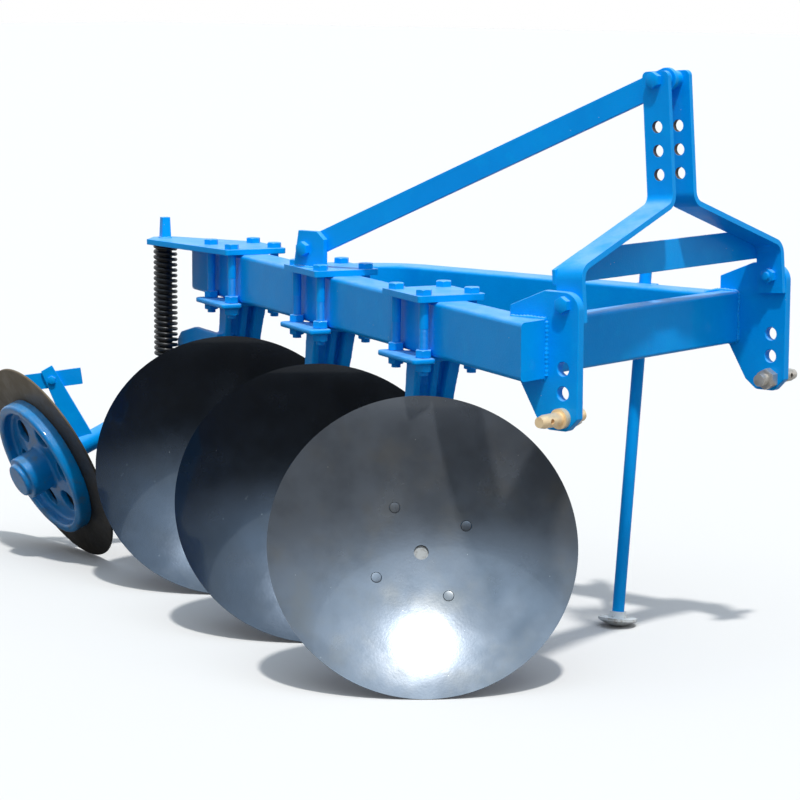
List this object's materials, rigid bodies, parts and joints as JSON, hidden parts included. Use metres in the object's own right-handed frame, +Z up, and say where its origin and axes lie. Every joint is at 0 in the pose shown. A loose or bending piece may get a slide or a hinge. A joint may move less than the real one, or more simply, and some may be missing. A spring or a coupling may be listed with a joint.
{
  "type": "mounted disc plough",
  "caption": "Tractor-mounted disc plough with a slanting beam, dished discs on cast standards, a three-point mast, a sprung furrow wheel and a parking stand.",
  "frame": {"origin": "centre of the footprint at floor level, as it stands parked", "axes": "+X the direction of travel, +Y the machine's left, +Z up"},
  "size_m": [2.2215, 1.1204, 1.3037],
  "materials": {
    "blue_paint": "gloss",
    "disc_black": "gloss",
    "spring_black": "satin",
    "wheel_dark": "matte",
    "foot_bare": "matte",
    "pin_gold": "satin",
    "pin_grey": "satin"
  },
  "bodies": {
    "frame": {"brace_tube": "blue_paint", "clamp_bolts_1": "blue_paint", "clamp_bolts_2": "blue_paint", "clamp_bolts_3": "blue_paint", "clamp_plate_1": "blue_paint", "clamp_plate_2": "blue_paint", "clamp_plate_3": "blue_paint", "cross_beam": "blue_paint", "disc_standard_1": "blue_paint", "disc_standard_2": "blue_paint", "disc_standard_3": "blue_paint", "hitch_pin_left": "pin_grey", "hitch_pin_nuts": "pin_grey", "hitch_pin_right": "pin_gold", "hitch_plate_left": "blue_paint", "hitch_plate_right": "blue_paint", "main_beam": "blue_paint", "mast_bolts": "blue_paint", "mast_flat": "blue_paint", "mast_spacers": "blue_paint", "mast_strap_left": "blue_paint", "mast_strap_right": "blue_paint", "scraper_arm": "blue_paint", "scraper_blade": "blue_paint", "scraper_bolt": "blue_paint", "stand_sleeve": "blue_paint", "stay_ear": "blue_paint", "stay_ear_bolt": "blue_paint", "top_stay": "blue_paint", "wheel_shank": "blue_paint", "wheel_spring": "spring_black"},
    "disc_1_set": {"disc_1": "disc_black", "disc_hub_1": "blue_paint", "disc_bolts_1": "blue_paint"},
    "disc_2_set": {"disc_2": "disc_black", "disc_hub_2": "blue_paint", "disc_bolts_2": "blue_paint"},
    "disc_3_set": {"disc_3": "disc_black", "disc_hub_3": "blue_paint", "disc_bolts_3": "blue_paint"},
    "furrow_wheel": {"furrow_wheel_flange": "wheel_dark", "furrow_wheel_centre": "blue_paint"},
    "stand": {"stand_rod": "blue_paint", "stand_foot": "foot_bare"}
  },
  "joints": [
    {"name": "disc_1_turn", "type": "hinge", "parent": "frame", "child": "disc_1_set", "pos_m": [0.7128, -0.31521, 0.29993], "axis": [0.6094, -0.6709, 0.4226], "continuous": true},
    {"name": "disc_2_turn", "type": "hinge", "parent": "frame", "child": "disc_2_set", "pos_m": [0.20998, -0.07397, 0.29993], "axis": [0.6094, -0.6709, 0.4226], "continuous": true},
    {"name": "disc_3_turn", "type": "hinge", "parent": "frame", "child": "disc_3_set", "pos_m": [-0.29285, 0.16727, 0.29993], "axis": [0.6094, -0.6709, 0.4226], "continuous": true},
    {"name": "furrow_wheel_turn", "type": "hinge", "parent": "frame", "child": "furrow_wheel", "pos_m": [-0.852, 0.096, 0.24899], "axis": [-0.2866, -0.8718, -0.3971], "continuous": true},
    {"name": "stand_slide", "type": "slide", "parent": "frame", "child": "stand", "axis": [-0.0105, 0.1275, 0.9918], "range_m": [0, 0.4]}
  ]
}
